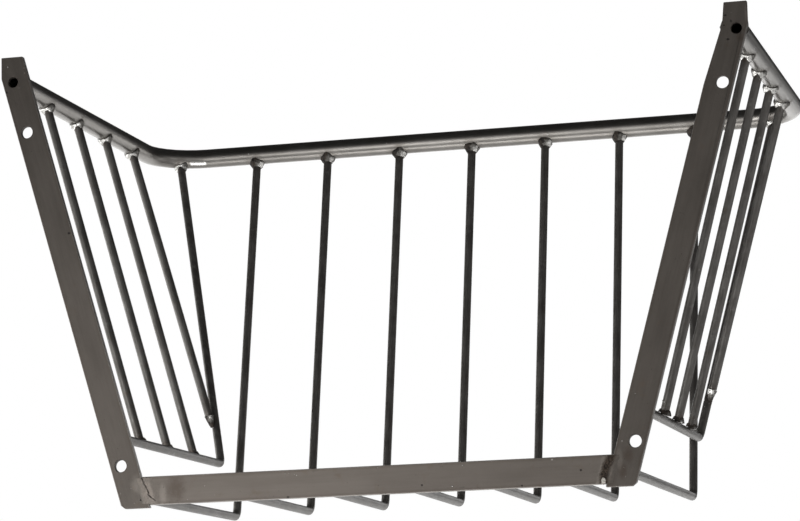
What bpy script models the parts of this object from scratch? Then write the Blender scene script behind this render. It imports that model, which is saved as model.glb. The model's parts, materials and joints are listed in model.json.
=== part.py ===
# Wall hay rack: a welded steel basket that hangs flat against a wall.
# Two leaning stiles and a bottom rail of flat bar make the back frame, a round tube bent to a U
# makes the rim, and round rods run from the rim down and back to the frame.
# Metres, +Z up. The wall is the plane Y = 0, the basket stands out towards -Y, and the origin is
# the middle of the bottom rail's wall-side face.

import math

import bmesh
import bpy
from mathutils import Matrix, Vector

LEFT = 1
RIGHT = -1
SIDES = (("left", LEFT), ("right", RIGHT))

# Stock
FLAT_WIDTH = 0.025
FLAT_THICKNESS = 0.005
FLAT_EDGE_ROUND = 0.0005
ROD_DIAMETER = 0.008
TUBE_DIAMETER = 0.019
TUBE_WALL = 0.002

# Touching pieces stand this far apart
FIT_GAP = 0.0003

# Rim: the tube's axis
RIM_HALF_WIDTH = 0.3285
RIM_DEPTH = 0.407
RIM_HEIGHT = 0.376
RIM_BEND_RADIUS = 0.050

# Back frame
FOOT_HALF_SPAN = 0.221
TUBE_OUTBOARD = 0.001
STILE_BELOW_RAIL = 0.0025
FOOT_CHAMFER = 0.003

# The stiles' upper ends were cut by hand, so the two differ a little
LEFT_STILE_ABOVE_RIM = 0.024
RIGHT_STILE_ABOVE_RIM = 0.0205
LEFT_STILE_BESIDE_TUBE = 0.0037
RIGHT_STILE_BESIDE_TUBE = 0.0022
STILE_ABOVE_RIM = {LEFT: LEFT_STILE_ABOVE_RIM, RIGHT: RIGHT_STILE_ABOVE_RIM}
STILE_BESIDE_TUBE = {LEFT: LEFT_STILE_BESIDE_TUBE, RIGHT: RIGHT_STILE_BESIDE_TUBE}

# The right stile's inner edge draws in to a neck at the rim, and is upright above it
NECK_START_BELOW_RIM = 0.050
NECK_ABOVE_RIM = 0.0014
NECK_INSET = 0.0034
NECK_TOP_WIDTH = 0.0200

# Holes in each stile
VENT_HOLE_DIAMETER = 0.0095
VENT_HOLE_OUTBOARD = 0.002
LEFT_VENT_HOLE_ABOVE_AXIS = 0.0006
RIGHT_VENT_HOLE_BELOW_AXIS = 0.0030
VENT_HOLE_ABOVE_AXIS = {LEFT: LEFT_VENT_HOLE_ABOVE_AXIS, RIGHT: -RIGHT_VENT_HOLE_BELOW_AXIS}
SCREW_HOLE_DIAMETER = 0.011
SCREW_HOLE_OUTBOARD = 0.003
LEFT_UPPER_SCREW_BELOW_RIM = 0.0465
RIGHT_UPPER_SCREW_BELOW_RIM = 0.049
UPPER_SCREW_BELOW_RIM = {LEFT: LEFT_UPPER_SCREW_BELOW_RIM, RIGHT: RIGHT_UPPER_SCREW_BELOW_RIM}
LOWER_SCREW_HEIGHT = 0.023

# Front rods: the outer ones stand just outboard of the frame's lower corners and set the pitch.
# The level runs of the middle ones lie a little higher than the outer ones, and the outer ones
# drop a little from the bend to the rail.
FRONT_ROD_COUNT = 7
OUTER_ROD_OUTBOARD = 0.004
FRONT_ROD_PITCH = 2 * (FOOT_HALF_SPAN + OUTER_ROD_OUTBOARD) / (FRONT_ROD_COUNT - 1)
FRONT_ROD_SETBACK = 0.088
OUTER_BEND_HEIGHT = 0.0005
BEND_CAMBER = 0.004
OUTER_FOOT_HEIGHT = -0.003
FOOT_CAMBER = 0.007
ROD_BEND_RADIUS = 0.010

# Corner rods, whose tops stand on the bends of the rim
CORNER_ROD_TOP_ANGLE = math.radians(57.0)
LEFT_CORNER_BEND_HEIGHT = 0.0515
RIGHT_CORNER_BEND_HEIGHT = 0.0540
CORNER_BEND_HEIGHT = {LEFT: LEFT_CORNER_BEND_HEIGHT, RIGHT: RIGHT_CORNER_BEND_HEIGHT}
CORNER_ROD_DROP = 0.0025
CORNER_FOOT_HEIGHT = {side: height - CORNER_ROD_DROP for side, height in CORNER_BEND_HEIGHT.items()}
CORNER_ROD_SETBACK = 0.105

# Side rods, numbered from the wall and set out by eye, so the two sides differ a little
SIDE_ROD_COUNT = 4
LEFT_FIRST_TOP_DEPTH = 0.075
RIGHT_FIRST_TOP_DEPTH = 0.085
LEFT_TOP_PITCH = 0.0785
RIGHT_TOP_PITCH = 0.072
LEFT_FIRST_FOOT_DEPTH = 0.082
RIGHT_FIRST_FOOT_DEPTH = 0.0855
LEFT_FOOT_PITCH = 0.077
RIGHT_FOOT_PITCH = 0.0695
FIRST_TOP_DEPTH = {LEFT: LEFT_FIRST_TOP_DEPTH, RIGHT: RIGHT_FIRST_TOP_DEPTH}
TOP_PITCH = {LEFT: LEFT_TOP_PITCH, RIGHT: RIGHT_TOP_PITCH}
FIRST_FOOT_DEPTH = {LEFT: LEFT_FIRST_FOOT_DEPTH, RIGHT: RIGHT_FIRST_FOOT_DEPTH}
FOOT_PITCH = {LEFT: LEFT_FOOT_PITCH, RIGHT: RIGHT_FOOT_PITCH}
SIDE_ROD_OUTBOARD = 0.005
SIDE_ROD_END_ABOVE_AXIS = 0.001
LAST_SIDE_ROD_LANDING = 0.100
LAST_SIDE_ROD_SEAT_ANGLE = math.radians(67.0)

# Weld beads
WELD_LEG = 0.0034
SADDLE_WELD_LEG = 0.0022
TUBE_WELD_LEG = 0.003
WELD_LENGTH = 0.005
WELD_WRAP = 0.004
WELD_LOBE = 0.0006
TAPERED_WELD_LENGTH = 0.012
TAPERED_WELD_TIP = 0.0018
SEAM_WELD_RADIUS = 0.003
SEAM_WELD_INSET = 0.002

# A bead's width halfway back and at its toe, as shares of its leg
WELD_WAIST_SHARE = 0.62
WELD_TOE_SHARE = 0.18

# How many soft lobes a bead has, and how far each bead is turned from the one before it
TOP_WELD_LOBES = 4
FOOT_WELD_LOBES = 3
TUBE_WELD_LOBES = 5
LOBE_TURN = math.radians(97.0)

# Facets
ROD_BEVEL_RESOLUTION = 6
TUBE_BEVEL_RESOLUTION = 10
SEAM_BEVEL_RESOLUTION = 2
ARC_STEP = math.radians(13.0)
HOLE_SIDES = 24
WELD_SIDES = 16
MERGE_DISTANCE = 0.00001
SMOOTH_ANGLE = math.radians(40.0)
EDGE_ROUND_ANGLE = math.radians(60.0)


# Scene

def clear_scene():
    for item in list(bpy.data.objects):
        bpy.data.objects.remove(item, do_unlink=True)


def new_collection(name):
    collection = bpy.data.collections.new(name)
    bpy.context.scene.collection.children.link(collection)
    return collection


clear_scene()
RACK = new_collection("wall_hay_rack")
CUTTERS = new_collection("cutters")


# Materials

def steel(name, colour, roughness, metallic):
    material = bpy.data.materials.new(name)
    material.use_nodes = True
    shader = material.node_tree.nodes["Principled BSDF"]
    shader.inputs["Base Color"].default_value = (*colour, 1.0)
    shader.inputs["Roughness"].default_value = roughness
    shader.inputs["Metallic"].default_value = metallic
    material.diffuse_color = (*colour, 1.0)
    return material


def rolled_flat_steel(name):
    return steel(name, (0.082, 0.074, 0.067), roughness=0.55, metallic=0.8)


def rolled_rod_steel(name):
    return steel(name, (0.060, 0.056, 0.052), roughness=0.45, metallic=0.85)


def drawn_tube_steel(name):
    return steel(name, (0.16, 0.15, 0.14), roughness=0.35, metallic=0.95)


def weld_metal(name):
    return steel(name, (0.45, 0.44, 0.42), roughness=0.3, metallic=1.0)


# Objects

def add_part(name, mesh, material):
    part = bpy.data.objects.new(name, mesh)
    part.data.materials.clear()
    part.data.materials.append(material)
    RACK.objects.link(part)
    return part


def add_cutter(name, mesh):
    cutter = bpy.data.objects.new(name, mesh)
    cutter.hide_render = True
    cutter.display_type = "WIRE"
    CUTTERS.objects.link(cutter)
    return cutter


def cut(part, cutter):
    boolean = part.modifiers.new("cut_by_" + cutter.name, "BOOLEAN")
    boolean.operation = "DIFFERENCE"
    boolean.solver = "EXACT"
    boolean.object = cutter


def round_shading(mesh):
    mesh.shade_smooth()
    mesh.set_sharp_from_angle(angle=SMOOTH_ANGLE)


def mesh_of(item):
    """The evaluated mesh of a curve or mesh object, welded, after which the object is gone."""
    bpy.context.view_layer.update()
    evaluated = item.evaluated_get(bpy.context.evaluated_depsgraph_get())
    mesh = bpy.data.meshes.new_from_object(evaluated)
    mesh.transform(item.matrix_world)
    shape = bmesh.new()
    shape.from_mesh(mesh)
    bmesh.ops.remove_doubles(shape, verts=shape.verts, dist=MERGE_DISTANCE)
    bmesh.ops.recalc_face_normals(shape, faces=shape.faces)
    shape.to_mesh(mesh)
    shape.free()
    bpy.data.objects.remove(item, do_unlink=True)
    return mesh


# Bent bar

def with_bends(corners, radius):
    """The corner points joined by straight runs, with an arc of the given radius at each bend."""
    path = [corners[0]]
    for before, corner, after in zip(corners, corners[1:], corners[2:]):
        incoming = (corner - before).normalized()
        outgoing = (after - corner).normalized()
        turn = incoming.angle(outgoing)
        reach = radius * math.tan(turn / 2)
        inward = (outgoing - incoming).normalized()
        centre = corner + inward * radius / math.cos(turn / 2)
        start = corner - incoming * reach - centre
        axis = incoming.cross(outgoing).normalized()
        steps = math.ceil(turn / ARC_STEP)
        for step in range(steps + 1):
            path.append(centre + Matrix.Rotation(turn * step / steps, 3, axis) @ start)
    path.append(corners[-1])
    return path


def swept_mesh(path, diameter, bevel_resolution, capped=True):
    """A round bar, or the outer surface of a tube, along a path."""
    curve = bpy.data.curves.new("path", "CURVE")
    curve.dimensions = "3D"
    curve.bevel_depth = diameter / 2
    curve.bevel_resolution = bevel_resolution
    curve.use_fill_caps = capped
    spline = curve.splines.new("POLY")
    spline.points.add(len(path) - 1)
    for point, place in zip(spline.points, path):
        point.co = (*place, 1.0)
    item = bpy.data.objects.new("path", curve)
    bpy.context.scene.collection.objects.link(item)
    mesh = mesh_of(item)
    round_shading(mesh)
    return mesh


# Back frame

STILE_HALF_SPAN_AT_RIM = RIM_HALF_WIDTH - TUBE_OUTBOARD
STILE_LEAN = math.atan2(STILE_HALF_SPAN_AT_RIM - FOOT_HALF_SPAN, RIM_HEIGHT)
STILE_HALF_CUT = FLAT_WIDTH / 2 / math.cos(STILE_LEAN)
FRONT_FACE = -FLAT_THICKNESS - FIT_GAP


def stile_centre(height):
    """Distance from the middle of the rack to a stile's centre line."""
    return FOOT_HALF_SPAN + height * math.tan(STILE_LEAN)


def stile_trim(side):
    """Distance from the middle of the rack to a stile's upright outer edge beside the tube."""
    return RIM_HALF_WIDTH + TUBE_DIAMETER / 2 + STILE_BESIDE_TUBE[side]


def circle(centre, diameter):
    radius = diameter / 2
    turn = 2 * math.pi / HOLE_SIDES
    return [
        (centre[0] + radius * math.cos(turn * step), centre[1] + radius * math.sin(turn * step))
        for step in range(HOLE_SIDES)
    ]


def flat_bar(name, outlines):
    """Flat bar in the wall plane, from an outline and its holes, each a list of (x, z)."""
    curve = bpy.data.curves.new(name, "CURVE")
    curve.dimensions = "2D"
    curve.fill_mode = "BOTH"
    curve.extrude = FLAT_THICKNESS / 2
    for outline in outlines:
        spline = curve.splines.new("POLY")
        spline.points.add(len(outline) - 1)
        for point, (x, z) in zip(spline.points, outline):
            point.co = (x, z, 0.0, 1.0)
        spline.use_cyclic_u = True
    item = bpy.data.objects.new(name, curve)
    item.rotation_euler = (math.pi / 2, 0.0, 0.0)
    item.location = (0.0, -FLAT_THICKNESS / 2, 0.0)
    bpy.context.scene.collection.objects.link(item)
    bar = add_part(name, mesh_of(item), rolled_flat_steel(name))
    rounding = bar.modifiers.new("edge_round", "BEVEL")
    rounding.width = FLAT_EDGE_ROUND
    rounding.segments = 1
    rounding.limit_method = "ANGLE"
    rounding.angle_limit = EDGE_ROUND_ANGLE
    return bar


def stile(name, side):
    """Cut level at both ends, and upright beside the tube, with a vent into the tube's bore."""
    foot = -FLAT_WIDTH / 2 - STILE_BELOW_RAIL
    top = RIM_HEIGHT + STILE_ABOVE_RIM[side]
    trim = stile_trim(side)
    trim_height = (trim - STILE_HALF_CUT - FOOT_HALF_SPAN) / math.tan(STILE_LEAN)
    outline = [
        (stile_centre(foot) - STILE_HALF_CUT, foot),
        (stile_centre(foot) + STILE_HALF_CUT - FOOT_CHAMFER, foot),
        (stile_centre(foot + FOOT_CHAMFER) + STILE_HALF_CUT, foot + FOOT_CHAMFER),
        (trim, trim_height),
        (trim, top),
    ]
    if side == LEFT:
        outline.append((stile_centre(top) - STILE_HALF_CUT, top))
    else:
        neck = RIM_HEIGHT + NECK_ABOVE_RIM
        neck_start = RIM_HEIGHT - NECK_START_BELOW_RIM
        outline += [
            (trim - NECK_TOP_WIDTH, top),
            (stile_centre(neck) - STILE_HALF_CUT + NECK_INSET, neck),
            (stile_centre(neck_start) - STILE_HALF_CUT, neck_start),
        ]
    vent = (RIM_HALF_WIDTH + VENT_HOLE_OUTBOARD, RIM_HEIGHT + VENT_HOLE_ABOVE_AXIS[side])
    holes = [circle(vent, VENT_HOLE_DIAMETER)]
    for height in (RIM_HEIGHT - UPPER_SCREW_BELOW_RIM[side], LOWER_SCREW_HEIGHT):
        centre = (stile_centre(height) + SCREW_HOLE_OUTBOARD, height)
        holes.append(circle(centre, SCREW_HOLE_DIAMETER))
    return flat_bar(name, [[(side * x, z) for x, z in line] for line in [outline] + holes])


def bottom_rail(name):
    """Its ends are cut on the slant and butt against the stiles' inner edges."""
    gap = FIT_GAP / math.cos(STILE_LEAN)
    half_width = FLAT_WIDTH / 2
    corners = []
    for side, z in ((LEFT, -half_width), (LEFT, half_width), (RIGHT, half_width), (RIGHT, -half_width)):
        corners.append((side * (stile_centre(z) - STILE_HALF_CUT - gap), z))
    return flat_bar(name, [corners])


# Rim

def rim_path():
    """From one stile's front face round to the other's."""
    corners = [
        Vector((LEFT * RIM_HALF_WIDTH, FRONT_FACE, RIM_HEIGHT)),
        Vector((LEFT * RIM_HALF_WIDTH, -RIM_DEPTH, RIM_HEIGHT)),
        Vector((RIGHT * RIM_HALF_WIDTH, -RIM_DEPTH, RIM_HEIGHT)),
        Vector((RIGHT * RIM_HALF_WIDTH, FRONT_FACE, RIM_HEIGHT)),
    ]
    return with_bends(corners, RIM_BEND_RADIUS)


def rim_tube(name):
    mesh = swept_mesh(rim_path(), TUBE_DIAMETER, TUBE_BEVEL_RESOLUTION, capped=False)
    tube = add_part(name, mesh, drawn_tube_steel(name))
    wall = tube.modifiers.new("tube_wall", "SOLIDIFY")
    wall.thickness = TUBE_WALL
    wall.offset = -1.0
    return tube


def rim_cutter():
    clear_of_tube = TUBE_DIAMETER + 2 * FIT_GAP
    return add_cutter("clear_of_rim", swept_mesh(rim_path(), clear_of_tube, TUBE_BEVEL_RESOLUTION))


# Rods

def front_rod_path(number):
    """Down from the rim's front, then level back to the rail."""
    middle = (FRONT_ROD_COUNT + 1) / 2
    x = (middle - number) * FRONT_ROD_PITCH
    rise = 1 - ((middle - number) / (middle - 1)) ** 2
    bend_height = OUTER_BEND_HEIGHT + BEND_CAMBER * rise
    foot_height = OUTER_FOOT_HEIGHT + FOOT_CAMBER * rise
    return with_bends([
        Vector((x, -RIM_DEPTH, RIM_HEIGHT)),
        Vector((x, FRONT_ROD_SETBACK - RIM_DEPTH, bend_height)),
        Vector((x, FRONT_FACE, foot_height)),
    ], ROD_BEND_RADIUS)


def corner_rod_corners(side):
    """Down from the bend of the rim, then level back to the stile's centre line."""
    top_x = RIM_HALF_WIDTH - RIM_BEND_RADIUS * (1 - math.cos(CORNER_ROD_TOP_ANGLE))
    top_depth = RIM_DEPTH - RIM_BEND_RADIUS * (1 - math.sin(CORNER_ROD_TOP_ANGLE))
    low_x = stile_centre(CORNER_FOOT_HEIGHT[side])
    return [
        Vector((side * top_x, -top_depth, RIM_HEIGHT)),
        Vector((side * low_x, CORNER_ROD_SETBACK - RIM_DEPTH, CORNER_BEND_HEIGHT[side])),
        Vector((side * low_x, FRONT_FACE, CORNER_FOOT_HEIGHT[side])),
    ]


def at_height(start, end, height):
    return start.lerp(end, (height - start.z) / (end.z - start.z))


def side_rod_path(side, number):
    """The last rod lands beside the corner rod's leaning run, the others on its level run."""
    top_depth = FIRST_TOP_DEPTH[side] + (number - 1) * TOP_PITCH[side]
    top = Vector((side * RIM_HALF_WIDTH, -top_depth, RIM_HEIGHT))
    upper, bend, foot = corner_rod_corners(side)
    if number < SIDE_ROD_COUNT:
        foot_depth = FIRST_FOOT_DEPTH[side] + (number - 1) * FOOT_PITCH[side]
        landing = foot.lerp(bend, (-foot_depth - foot.y) / (bend.y - foot.y))
        landing.x += side * SIDE_ROD_OUTBOARD
        return [top, at_height(top, landing, landing.z + SIDE_ROD_END_ABOVE_AXIS)]
    corner_axis = at_height(upper, bend, LAST_SIDE_ROD_LANDING)
    reach = ROD_DIAMETER + FIT_GAP
    step_out = side * reach * math.cos(LAST_SIDE_ROD_SEAT_ANGLE)
    step_back = reach * math.sin(LAST_SIDE_ROD_SEAT_ANGLE)
    return [top, corner_axis + Vector((step_out, step_back, 0.0))]


def rod(name, path):
    return add_part(name, swept_mesh(path, ROD_DIAMETER, ROD_BEVEL_RESOLUTION), rolled_rod_steel(name))


def rod_cutter(name, path):
    clear_of_rod = ROD_DIAMETER + 2 * FIT_GAP
    return add_cutter(name, swept_mesh(path, clear_of_rod, ROD_BEVEL_RESOLUTION))


# Weld beads

ROD_BORE = ROD_DIAMETER / 2 + FIT_GAP


def fillet(bore, leg):
    """The outer line of a bead, from its widest ring back along the bar."""
    return [
        (bore + leg, 0.0),
        (bore + leg * WELD_WAIST_SHARE, -WELD_LENGTH / 2),
        (bore + leg * WELD_TOE_SHARE, -WELD_LENGTH),
        (bore, -WELD_LENGTH),
    ]


def collar_profile(bore, leg):
    """A fillet that ends flat against the face it sits on."""
    return [(bore, 0.0)] + fillet(bore, leg)


def wrapped_profile(bore, leg):
    """A fillet that reaches forward onto a round piece."""
    return [(bore, WELD_WRAP), (bore + leg, WELD_WRAP)] + fillet(bore, leg)


def tapered_profile(bore):
    """A bead that fills the step under a square-cut bar end."""
    return [
        (0.0, FIT_GAP),
        (bore, FIT_GAP),
        (TAPERED_WELD_TIP, TAPERED_WELD_LENGTH),
        (0.0, TAPERED_WELD_LENGTH),
    ]


def weld(name, profile, place, direction, lobes):
    """A turned bead round an axis, with soft lobes where the arc was held."""
    outline = bpy.data.meshes.new("profile")
    points = [(radius, 0.0, along) for radius, along in profile]
    edges = [(i, (i + 1) % len(points)) for i in range(len(points))]
    outline.from_pydata(points, edges, [])
    item = bpy.data.objects.new("profile", outline)
    bpy.context.scene.collection.objects.link(item)
    turned = item.modifiers.new("turned", "SCREW")
    turned.axis = "Z"
    turned.steps = WELD_SIDES
    turned.render_steps = WELD_SIDES
    turned.use_merge_vertices = True
    turned.merge_threshold = MERGE_DISTANCE
    mesh = mesh_of(item)
    bore = min(radius for radius, _ in profile if radius > 0)
    leg = max(radius for radius, _ in profile) - bore
    start = LOBE_TURN * len(RACK.objects)
    for vertex in mesh.vertices:
        radius = vertex.co.xy.length
        swell = WELD_LOBE * (radius - bore) / leg
        if swell > 0:
            around = math.atan2(vertex.co.y, vertex.co.x)
            factor = 1 + swell * math.sin(lobes * around + start) / radius
            vertex.co.x *= factor
            vertex.co.y *= factor
    round_shading(mesh)
    bead = add_part(name, mesh, weld_metal(name))
    bead.rotation_euler = direction.to_track_quat("Z", "Y").to_euler()
    bead.location = place
    return bead


def rod_top_weld(name, path, rim):
    """Hugs the rod's upper end and the underside of the tube."""
    upward = (path[0] - path[1]).normalized()
    under_tube = path[0] - upward * TUBE_DIAMETER / 2
    profile = wrapped_profile(ROD_BORE, WELD_LEG)
    cut(weld("weld_" + name + "_top", profile, under_tube, upward, TOP_WELD_LOBES), rim)


def rod_foot_weld(name, path):
    """Fillet where a level rod meets the flat bar."""
    profile = collar_profile(ROD_BORE, WELD_LEG)
    weld("weld_" + name + "_foot", profile, path[-1], Vector((0.0, 1.0, 0.0)), FOOT_WELD_LOBES)


def side_rod_foot_weld(name, path, profile, corner_rod):
    """Saddles the corner rod where a side rod lands on it."""
    downward = (path[-1] - path[-2]).normalized()
    cut(weld("weld_" + name + "_foot", profile, path[-1], downward, TOP_WELD_LOBES), corner_rod)


def tube_end_weld(name, side):
    """Fillet round the tube's end, trimmed in line with the stile's outer edge."""
    profile = collar_profile(TUBE_DIAMETER / 2 + FIT_GAP, TUBE_WELD_LEG)
    place = Vector((side * RIM_HALF_WIDTH, FRONT_FACE, RIM_HEIGHT))
    bead = weld(name, profile, place, Vector((0.0, 1.0, 0.0)), TUBE_WELD_LOBES)
    block_size = 4 * TUBE_DIAMETER
    shape = bmesh.new()
    bmesh.ops.create_cube(shape, size=block_size)
    mesh = bpy.data.meshes.new(name + "_trim")
    shape.to_mesh(mesh)
    shape.free()
    block = add_cutter(name + "_trim", mesh)
    block.location = (side * (stile_trim(side) + block_size / 2), FRONT_FACE, RIM_HEIGHT)
    cut(bead, block)


def seam_weld(name, side):
    """Half-round bead over the seam between rail and stile, on the front face only."""
    half_seam = FLAT_WIDTH / 2 - SEAM_WELD_INSET
    ends = []
    for z in (-half_seam, half_seam):
        ends.append(Vector((side * (stile_centre(z) - STILE_HALF_CUT), FRONT_FACE, z)))
    mesh = swept_mesh(ends, 2 * SEAM_WELD_RADIUS, SEAM_BEVEL_RESOLUTION)
    shape = bmesh.new()
    shape.from_mesh(mesh)
    everything = shape.verts[:] + shape.edges[:] + shape.faces[:]
    facing_wall = (0.0, 1.0, 0.0)
    half = bmesh.ops.bisect_plane(
        shape, geom=everything, plane_co=ends[0], plane_no=facing_wall, clear_outer=True)
    open_edges = [item for item in half["geom_cut"] if isinstance(item, bmesh.types.BMEdge)]
    bmesh.ops.contextual_create(shape, geom=open_edges)
    bmesh.ops.recalc_face_normals(shape, faces=shape.faces)
    shape.to_mesh(mesh)
    shape.free()
    round_shading(mesh)
    add_part(name, mesh, weld_metal(name))


# Assembly

rim_tube("rim_tube")
bottom_rail("bottom_rail")
rim = rim_cutter()

for side_name, side in SIDES:
    stile(side_name + "_stile", side)
    tube_end_weld("weld_rim_tube_" + side_name, side)
    seam_weld("weld_rail_seam_" + side_name, side)

for number in range(1, FRONT_ROD_COUNT + 1):
    name = "front_rod_%d" % number
    path = front_rod_path(number)
    cut(rod(name, path), rim)
    rod_top_weld(name, path, rim)
    rod_foot_weld(name, path)

for side_name, side in SIDES:
    name = "corner_rod_" + side_name
    path = with_bends(corner_rod_corners(side), ROD_BEND_RADIUS)
    corner_rod = rod_cutter("clear_of_" + name, path)
    cut(rod(name, path), rim)
    rod_top_weld(name, path, rim)
    rod_foot_weld(name, path)
    for number in range(1, SIDE_ROD_COUNT + 1):
        name = "side_rod_%s_%d" % (side_name, number)
        path = side_rod_path(side, number)
        bar = rod(name, path)
        cut(bar, rim)
        cut(bar, corner_rod)
        rod_top_weld(name, path, rim)
        profile = collar_profile(ROD_BORE, SADDLE_WELD_LEG)
        if number == SIDE_ROD_COUNT:
            profile = tapered_profile(ROD_BORE)
        side_rod_foot_weld(name, path, profile, corner_rod)
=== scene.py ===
# Wall hay rack of raw welded steel: a back frame of flat bar that is screwed to a wall, a rim of
# bent tube, and round rods that make the basket. Metres, +Z up, the wall is the plane Y = 0.

import json
import math
import random

import bmesh
import bpy
from mathutils import Matrix, Vector
from mathutils.bvhtree import BVHTree

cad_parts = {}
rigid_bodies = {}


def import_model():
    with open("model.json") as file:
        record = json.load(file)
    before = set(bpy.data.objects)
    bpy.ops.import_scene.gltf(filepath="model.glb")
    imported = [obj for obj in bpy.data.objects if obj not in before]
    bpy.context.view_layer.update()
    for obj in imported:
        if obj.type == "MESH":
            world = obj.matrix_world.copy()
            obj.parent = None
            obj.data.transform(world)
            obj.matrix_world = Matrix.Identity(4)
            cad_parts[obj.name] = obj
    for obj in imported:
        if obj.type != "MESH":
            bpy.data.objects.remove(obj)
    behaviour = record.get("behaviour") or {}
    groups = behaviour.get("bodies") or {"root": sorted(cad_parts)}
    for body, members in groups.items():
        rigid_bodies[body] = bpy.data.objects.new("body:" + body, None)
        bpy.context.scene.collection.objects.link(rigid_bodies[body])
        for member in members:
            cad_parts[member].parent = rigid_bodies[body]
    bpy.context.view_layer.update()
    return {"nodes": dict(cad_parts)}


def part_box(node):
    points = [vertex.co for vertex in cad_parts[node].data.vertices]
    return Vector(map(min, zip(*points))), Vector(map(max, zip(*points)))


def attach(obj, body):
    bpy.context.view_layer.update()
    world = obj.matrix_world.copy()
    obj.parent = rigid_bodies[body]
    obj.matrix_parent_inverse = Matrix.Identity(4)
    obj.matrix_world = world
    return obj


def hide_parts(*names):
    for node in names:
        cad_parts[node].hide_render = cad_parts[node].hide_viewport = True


for leftover in list(bpy.data.objects):
    bpy.data.objects.remove(leftover)

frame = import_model()
nodes = frame["nodes"]


# Back frame: two leaning stiles and a bottom rail of 25 x 5 mm hot-rolled flat bar, sawn to
# length, drilled, and welded at the corners. The bar still wears its dark mill scale, with pocks
# and rubbed places, and the corner welds were ground nearly flush on the wall side.

FLAT_WIDTH = 0.025
RIM_HEIGHT = 0.376

# How far each stile's middle line is from the rack's middle, at its foot and at the rim
FOOT_HALF_SPAN = 0.221
RIM_HALF_SPAN = 0.3275
STILE_LEAN = math.atan2(RIM_HALF_SPAN - FOOT_HALF_SPAN, RIM_HEIGHT)

FLAT_SHARP_ANGLE = 20.0
SCALE_DARK = (0.077, 0.067, 0.058)
SCALE_LIGHT = (0.110, 0.097, 0.085)
RAIL_DARK = (0.116, 0.101, 0.088)
RAIL_LIGHT = (0.150, 0.132, 0.116)
RUST_BROWN = (0.105, 0.074, 0.050)
HEAT_BROWN = (0.060, 0.043, 0.032)
GROUND_STEEL = (0.26, 0.235, 0.21)
BARE_EDGE = (0.24, 0.23, 0.215)
BRIGHT_STEEL = (0.34, 0.32, 0.30)
PIT_BLACK = (0.014, 0.012, 0.011)

# Marks on the wall side, as (x, z, half width, half height), and the depths between which a mark
# fades out on the bar's edges
MARK_DEPTHS = (-0.003, -0.001)
POCKS = [
    (0.2774, 0.2346, 0.0013, 0.0011), (0.3367, 0.3677, 0.0010, 0.0010),
    (0.0769, -0.0112, 0.0012, 0.0009), (-0.0434, -0.0061, 0.0008, 0.0008),
    (-0.1314, -0.0105, 0.0008, 0.0008), (-0.1830, 0.0004, 0.0010, 0.0009),
    (-0.3230, 0.3639, 0.0016, 0.0009), (-0.3215, 0.3850, 0.0012, 0.0008),
    (-0.3262, 0.3795, 0.0007, 0.0012), (-0.3200, 0.3762, 0.0011, 0.0006),
    (0.2117, -0.0078, 0.0010, 0.0008)]
BRIGHT_SPECKS = [
    (0.3197, 0.3891, 0.0004, 0.0004), (0.3192, 0.3844, 0.0004, 0.0004),
    (-0.2192, 0.0234, 0.0005, 0.0005), (-0.1581, 0.0105, 0.0010, 0.0007)]
RUBBED_PLACES = [
    (0.2150, 0.0060, 0.0060, 0.0080), (0.1915, -0.0042, 0.0034, 0.0100),
    (-0.3394, 0.3862, 0.0012, 0.0080), (-0.2165, 0.0080, 0.0030, 0.0090)]
BROWN_PLACES = [
    (0.1792, 0.0013, 0.0085, 0.0120), (-0.2381, -0.0004, 0.0050, 0.0130),
    (-0.3330, 0.3648, 0.0030, 0.0042), (-0.2080, -0.0020, 0.0045, 0.0120),
    (-0.2239, 0.0113, 0.0050, 0.0065), (-0.2190, -0.0020, 0.0040, 0.0075)]


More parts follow.
